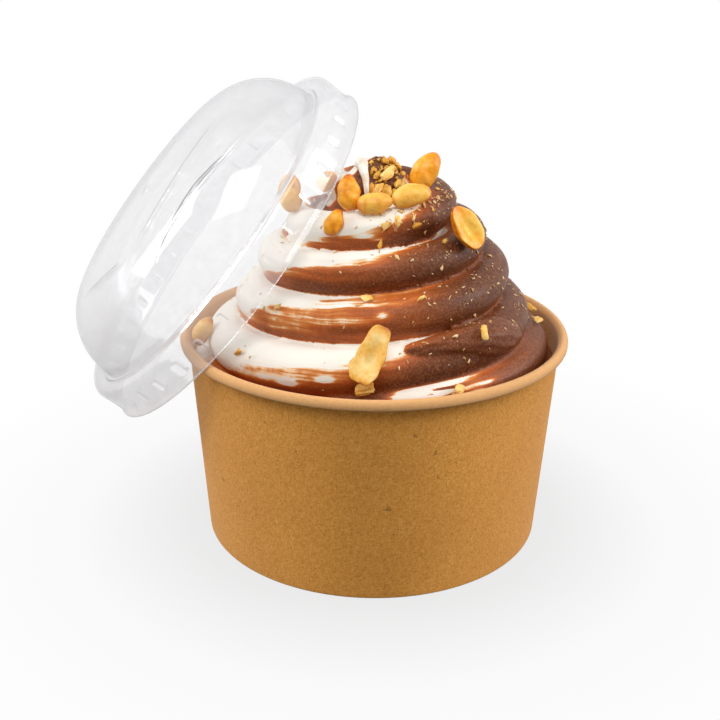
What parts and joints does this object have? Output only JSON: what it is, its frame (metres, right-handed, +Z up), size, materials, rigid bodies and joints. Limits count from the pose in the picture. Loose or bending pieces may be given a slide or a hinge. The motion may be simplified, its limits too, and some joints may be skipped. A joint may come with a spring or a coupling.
{
  "type": "paper dessert cup",
  "caption": "Round kraft paper cup filled with a chocolate and vanilla soft-serve swirl and peanut pieces, with its clear dome lid taken off and leaning on the rim.",
  "frame": {"origin": "centre of the cup's foot, on the surface that the cup stands on", "axes": "+Z up along the cup's axis, -Y towards the viewer of the picture, the lid leans on the -X side"},
  "size_m": [0.1276, 0.1157, 0.1091],
  "materials": {
    "kraft_paperboard": "matte",
    "soft_serve": "satin",
    "clear_lid": "gloss",
    "peanut": "satin"
  },
  "bodies": {
    "root": {"side_wall": "kraft_paperboard", "base_disc": "kraft_paperboard", "soft_serve": "soft_serve", "dome_lid": "clear_lid", "peanut_half_1": "peanut", "peanut_half_2": "peanut", "peanut_half_3": "peanut", "peanut_half_4": "peanut", "peanut_half_5": "peanut", "peanut_half_6": "peanut", "peanut_half_7": "peanut", "peanut_half_8": "peanut", "peanut_half_9": "peanut", "peanut_half_10": "peanut", "peanut_chip_1": "peanut", "peanut_chip_2": "peanut", "peanut_chip_3": "peanut", "peanut_chip_4": "peanut", "peanut_chip_5": "peanut", "peanut_chip_6": "peanut", "peanut_chip_7": "peanut", "peanut_chip_8": "peanut", "peanut_chip_9": "peanut", "peanut_chip_10": "peanut", "peanut_chip_11": "peanut", "peanut_chip_12": "peanut", "peanut_chip_13": "peanut", "peanut_chip_14": "peanut", "peanut_chip_15": "peanut", "peanut_chip_16": "peanut"}
  },
  "joints": []
}
